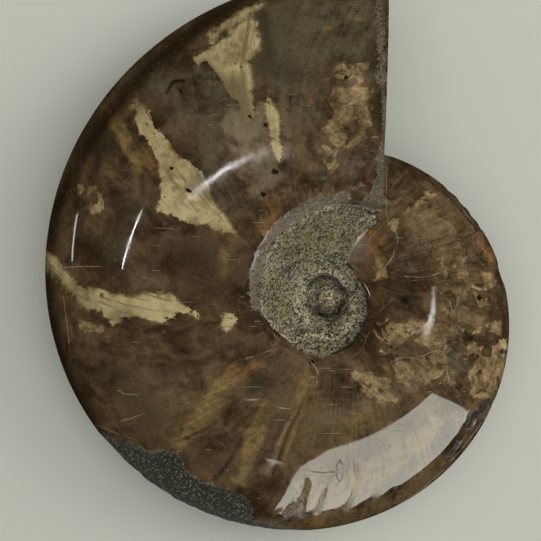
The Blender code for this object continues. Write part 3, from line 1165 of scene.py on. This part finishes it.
# Sand grains, and the tones of the paler sand with its painted highlight on the ridges, and of
# the painted shade in its grooves.
SAND_GRAIN = 0.38 * MM
SAND_GRAIN_HEIGHT = 0.14 * MM
SAND_TONES = {"pale_sand_and_highlight": 1.9, "sand_painted_shade": 0.22}
# How rough the surface is, and how high its fine ripples and scratches stand.
POLISHED, HANDLED, DULLED, BARE = 0.03, 0.08, 0.45, 1.0
RIPPLE_HEIGHT, STREAK_HEIGHT, LINE_HEIGHT = 0.016 * MM, 0.003 * MM, -0.03 * MM


class Grain:
    """The noises that the colours, the polish and the marks share, from broad to fine."""

    def __init__(self, recipe, centre):
        flank = along_flank(recipe, centre)
        self.broad = recipe.cloud(22 * MM, 3, 0.55)
        self.cloud = recipe.cloud(6 * MM, 5, 0.62, distortion=0.6, seed=0.3)
        self.ragged = recipe.cloud(1.4 * MM, 4, 0.65, seed=0.7)
        self.crystal = recipe.cloud(0.5 * MM, 2, 0.6, seed=6.1)
        self.growth = recipe.cloud(1.2 * MM, 4, 0.62, place=flank)


def marking(recipe, grain, name, wander, fray, softness):
    """A marking whose outline wanders and frays by so many millimetres."""
    depth = recipe.swayed(recipe.attribute(name + "_depth"), (wander, grain.cloud),
                          (fray, grain.ragged), (0.5 * fray, grain.crystal))
    spread = recipe.ramp(grain.broad, -0.1, 0.12, 0.3 * softness, 2.6 * softness)
    return recipe.ramp(depth, recipe.product(spread, -1.0), spread)


def brown_shell(recipe, grain):
    """Deep brown, with the soft tints brushed on and broken up, among them painted sheen and
    painted shade.
    """
    lightness = recipe.swayed(grain.broad, (0.6, grain.cloud))
    colour = recipe.blend(recipe.ramp(lightness, -0.16, 0.18), UMBER, UMBER_LIGHT)
    uneven = recipe.swayed(1.0, (2.2, grain.cloud), (1.2, grain.ragged), (1.4, grain.growth))
    for tint, shade in TINTS.items():
        weight = recipe.product(uneven, recipe.attribute(tint))
        colour = recipe.blend(recipe.ramp(weight, 0.05, 1.05), colour, shade)
    return colour


def near_tan(recipe):
    """1 from 2 mm inside the tan patches, fading to 0 at 3 mm outside them."""
    return recipe.ramp(recipe.attribute("tan_depth"), -3.0, 2.0)


def add_flakes(recipe, grain, colour):
    """Overlapping flakes of lighter and darker brown, with pale cracks between some."""
    flaky = recipe.attribute("flaky")
    bent = recipe.displaced(5 * MM, 4.5 * MM)
    for size, darkest, lightest in FLAKES:
        flake = recipe.node("ShaderNodeSeparateColor", {0: recipe.cells(size, place=bent)})
        tone = recipe.ramp(flake.outputs[0], 0.1, 0.9, darkest, lightest)
        colour = recipe.blend(flaky, colour, recipe.times(colour, tone))
    edge = recipe.cells(CRACKED_FLAKE, place=bent, output="Distance",
                        feature="DISTANCE_TO_EDGE")
    broken = recipe.ramp(recipe.cloud(4 * MM, 2, 0.5, seed=4.1), 0.0, 0.08)
    crack = recipe.product(recipe.ramp(edge, 0.008, 0.028, 1.0, 0.0), broken, flaky, 0.5)
    colour = recipe.blend(crack, colour, CRACK_PALE)

    tan_field = recipe.most(near_tan(recipe), recipe.product(flaky, 0.60))
    flakes = recipe.cloud(5.6 * MM, 5, 0.60, distortion=1.1, seed=1.1)
    cover = recipe.ramp(recipe.swayed(flakes, (0.36, tan_field)), 0.27, 0.33)
    lightness = recipe.swayed(0.42, (2.2, grain.cloud), (0.7, grain.ragged), (0.4, grain.crystal))
    tan = recipe.blend(recipe.ramp(lightness, 0.0, 1.0), TAN_DEEP, TAN_PALE)
    return recipe.blend(recipe.product(cover, 0.92), colour, tan)


def add_cream(recipe, grain, colour):
    """The grey-tan veil and the cream patches, with a warm fringe, which it also gives."""
    lightness = recipe.swayed(0.5, (2.0, grain.cloud), (0.7, grain.ragged), (0.6, grain.growth),
                              (0.3, grain.crystal))
    veil = recipe.blend(recipe.ramp(lightness, 0.1, 0.9), VEIL_DEEP, VEIL_PALE)
    cover = recipe.product(marking(recipe, grain, "veil", 11.0, 3.0, 2.0), 0.85)
    colour = recipe.blend(cover, colour, veil)
    fringe = marking(recipe, grain, "cream", 7.0, 3.0, 1.6)
    colour = recipe.blend(recipe.product(fringe, 0.8), colour, FRINGE)
    cream = recipe.blend(recipe.ramp(lightness, -0.05, 0.85), CREAM_DEEP, CREAM_PALE)
    warm = recipe.ramp(recipe.swayed(grain.growth, (0.5, grain.broad)), 0.04, 0.16, 0.0, 0.75)
    cream = recipe.blend(warm, cream, CREAM_WARM)
    stain = recipe.ramp(recipe.cloud(7 * MM, 3, 0.6, seed=8.3), 0.06, 0.18, 0.0, 0.65)
    cream = recipe.blend(stain, cream, CREAM_GREY)
    faded = recipe.swayed(recipe.attribute("faded"), (1.2, grain.cloud), (0.6, grain.growth))
    cream = recipe.blend(recipe.ramp(faded, 0.1, 0.9, 0.0, 0.85), cream, CREAM_FADED)
    return recipe.blend(marking(recipe, grain, "cream", 5.0, 1.8, 0.42), colour, cream), fringe


def add_specks(recipe, grain, colour, fringe):
    """Dark and pale specks, the dark spots, and painted shade in the grooves low on the flank."""
    patches = recipe.most(fringe, near_tan(recipe), 0.25)
    for size, seed, share, shade in SPECKS:
        cell = recipe.node("ShaderNodeTexVoronoi", {"Vector": recipe.place, "Scale": 1 / size})
        chosen = recipe.node("ShaderNodeSeparateColor", {0: cell.outputs["Color"]}).outputs[0]
        radius = recipe.ramp(chosen, 0.55, 1.0, -0.05, 0.24)
        beyond = recipe.figure("SUBTRACT", cell.outputs["Distance"], radius)
        crowd = recipe.ramp(recipe.cloud(11 * MM, 2, 0.5, seed=seed), -0.02, 0.10)
        cover = recipe.product(recipe.ramp(beyond, 0.0, 0.06, 1.0, 0.0), crowd, patches, share)
        colour = recipe.blend(cover, colour, shade)
    dark_spots_and_groove_shade = recipe.swayed(recipe.attribute("dark_spots_and_groove_shade"), (0.8, grain.ragged), (0.4, grain.crystal))
    return recipe.blend(recipe.ramp(dark_spots_and_groove_shade, 0.3, 0.55), colour, SPECK_DARK)


def line_cover(recipe, grain, name, half_width):
    """Hair lines, uneven and broken here and there."""
    wavering = recipe.swayed(recipe.attribute(name + "_side"), (0.9, grain.ragged))
    off = recipe.figure("ABSOLUTE", wavering)
    near = recipe.ramp(recipe.attribute(name + "_gap"), 1.4, 2.4, 1.0, 0.0)
    whole = recipe.ramp(grain.cloud, -0.12, 0.0, 0.2, 1.0)
    return recipe.product(recipe.ramp(off, 0.4 * half_width, half_width, 1.0, 0.0), near, whole)


def scratches(recipe, turn, seed):
    """Hair-thin scratches in one direction, few and short."""
    drawn = recipe.node("ShaderNodeMapping", {
        "Vector": recipe.place, "Rotation": (0, 0, math.radians(turn)), "Scale": (0.035, 1, 1),
    }).outputs[0]
    fibre = recipe.cloud(0.45 * MM, 1, 0.5, place=drawn, seed=seed)
    where = recipe.ramp(recipe.cloud(14 * MM, 2, 0.5, seed=seed), 0.02, 0.12)
    return recipe.product(recipe.ramp(fibre, 0.20, 0.27), where)


def stone_colours(recipe, grain):
    """Sandstone in the navel, dark crust at the rim and grit by the cut.

    Gives their colour, where they are and the lightness of each sand grain.
    """
    cell = recipe.node("ShaderNodeSeparateColor", {0: recipe.cells(SAND_GRAIN)})
    pepper, hue = cell.outputs[0], cell.outputs[1]
    clump = recipe.cloud(1.1 * MM, 3, 0.6, seed=5.9)
    patch = recipe.cloud(5 * MM, 3, 0.6, seed=5.2)
    lightness = recipe.swayed(pepper, (1.3, clump), (1.0, patch))
    sand = recipe.blend(recipe.ramp(lightness, 0.06, 1.08), SAND_DARK, SAND_PALE)
    sand = recipe.blend(recipe.ramp(hue, 0.74, 0.9, 0.0, 0.5), sand, SAND_WARM)
    green = recipe.triple("MULTIPLY", sand, SAND_GREEN)
    green_share = recipe.swayed(recipe.attribute("green_stone"), (1.5, patch), (1.0, clump))
    sand = recipe.blend(recipe.ramp(green_share, 0.1, 0.9), sand, green)
    for name, tone in SAND_TONES.items():
        share = recipe.swayed(recipe.attribute(name), (1.2, clump))
        sand = recipe.blend(recipe.ramp(share, 0.1, 0.9), sand, recipe.times(sand, tone))

    crust = recipe.blend(recipe.ramp(lightness, 0.2, 1.2), CRUST_DARK, CRUST_GREY)
    crust = recipe.blend(recipe.ramp(hue, 0.84, 0.91, 0.0, 0.85), crust, CRUST_FLECK)
    grit = recipe.blend(recipe.ramp(lightness, 0.1, 1.1), GRIT_DARK, GRIT_PALE)
    chip = recipe.blend(recipe.ramp(lightness, 0.5, 1.2), CHIP_DARK, CHIP_PALE)

    navel_cover = marking(recipe, grain, "sandstone", 1.2, 1.0, 0.2)
    crust_cover = marking(recipe, grain, "crust", 3.0, 2.6, 0.35)
    covers = {}
    for name in ("grit", "chipped"):
        share = recipe.swayed(recipe.attribute(name), (1.3, grain.cloud), (1.1, grain.ragged),
                              (0.8, grain.crystal))
        covers[name] = recipe.ramp(share, 0.38, 0.62)
    covers["grit"] = recipe.product(covers["grit"], 0.75)
    sawn = recipe.ramp(recipe.attribute("sawn"), 0.5, 0.9)
    stone = recipe.blend(crust_cover, sand, crust)
    stone = recipe.blend(recipe.product(sawn, 0.8), stone, grit)
    stone = recipe.blend(covers["grit"], stone, grit)
    stone = recipe.blend(covers["chipped"], stone, chip)
    stony = recipe.most(navel_cover, crust_cover, sawn, covers["grit"], covers["chipped"])
    return stone, stony, pepper


def shell_material(centre):
    """The whole stone: brown shell with its markings, and bare stone where it shows."""
    recipe = Recipe("polished_fossil_shell")
    grain = Grain(recipe, centre)
    colour = brown_shell(recipe, grain)
    colour = add_flakes(recipe, grain, colour)
    tone = recipe.swayed(1.0, (1.1, grain.cloud), (0.9, grain.ragged), (0.75, grain.crystal),
                         (0.8, grain.growth))
    colour = recipe.times(colour, tone)
    colour, fringe = add_cream(recipe, grain, colour)
    colour = add_specks(recipe, grain, colour, fringe)
    worn = recipe.most(scratches(recipe, 4, 1.3), scratches(recipe, 82, 7.7))
    colour = recipe.blend(recipe.product(worn, SCRATCH_COVER), colour, LINE_PALE)
    pale_line = line_cover(recipe, grain, "pale_line", PALE_LINE_WIDTH)
    dark_line = line_cover(recipe, grain, "dark_line", DARK_LINE_WIDTH)
    colour = recipe.blend(recipe.product(pale_line, PALE_LINE_COVER), colour, LINE_PALE)
    colour = recipe.blend(recipe.product(dark_line, DARK_LINE_COVER), colour, LINE_DARK)

    stone, stony, pepper = stone_colours(recipe, grain)
    colour = recipe.blend(stony, colour, stone)

    polish = recipe.ramp(grain.cloud, -0.15, 0.15, POLISHED, HANDLED)
    dull = recipe.most(recipe.attribute("dull"), recipe.product(pale_line, 0.7), dark_line,
                       recipe.product(worn, 0.6))
    roughness = recipe.between(stony, recipe.between(dull, polish, DULLED), BARE)
    ripple = recipe.product(recipe.cloud(7 * MM, 1, 0.4, seed=3.3), RIPPLE_HEIGHT)
    streak = recipe.product(grain.growth, STREAK_HEIGHT)
    dent = recipe.product(recipe.most(dark_line, worn), LINE_HEIGHT)
    sandy = recipe.product(pepper, SAND_GRAIN_HEIGHT)
    height = recipe.between(stony, recipe.chain("ADD", (ripple, streak, dent)), sandy)
    return recipe.finish(colour, roughness, height)


skin = make_skin()
shift = resting_shift(skin)
place_skin(skin, shift)
paint(skin, shift)
carve(skin, shift)
wear_flats(skin)
add_camera(shift[2])
smooth_skin(skin)
add_floor()
add_lights()
add_room_light()
bpy.context.scene.view_settings.view_transform = "Standard"
skin.data.materials.clear()
skin.data.materials.append(shell_material(shift))

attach(skin, "root")
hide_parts("ammonite")
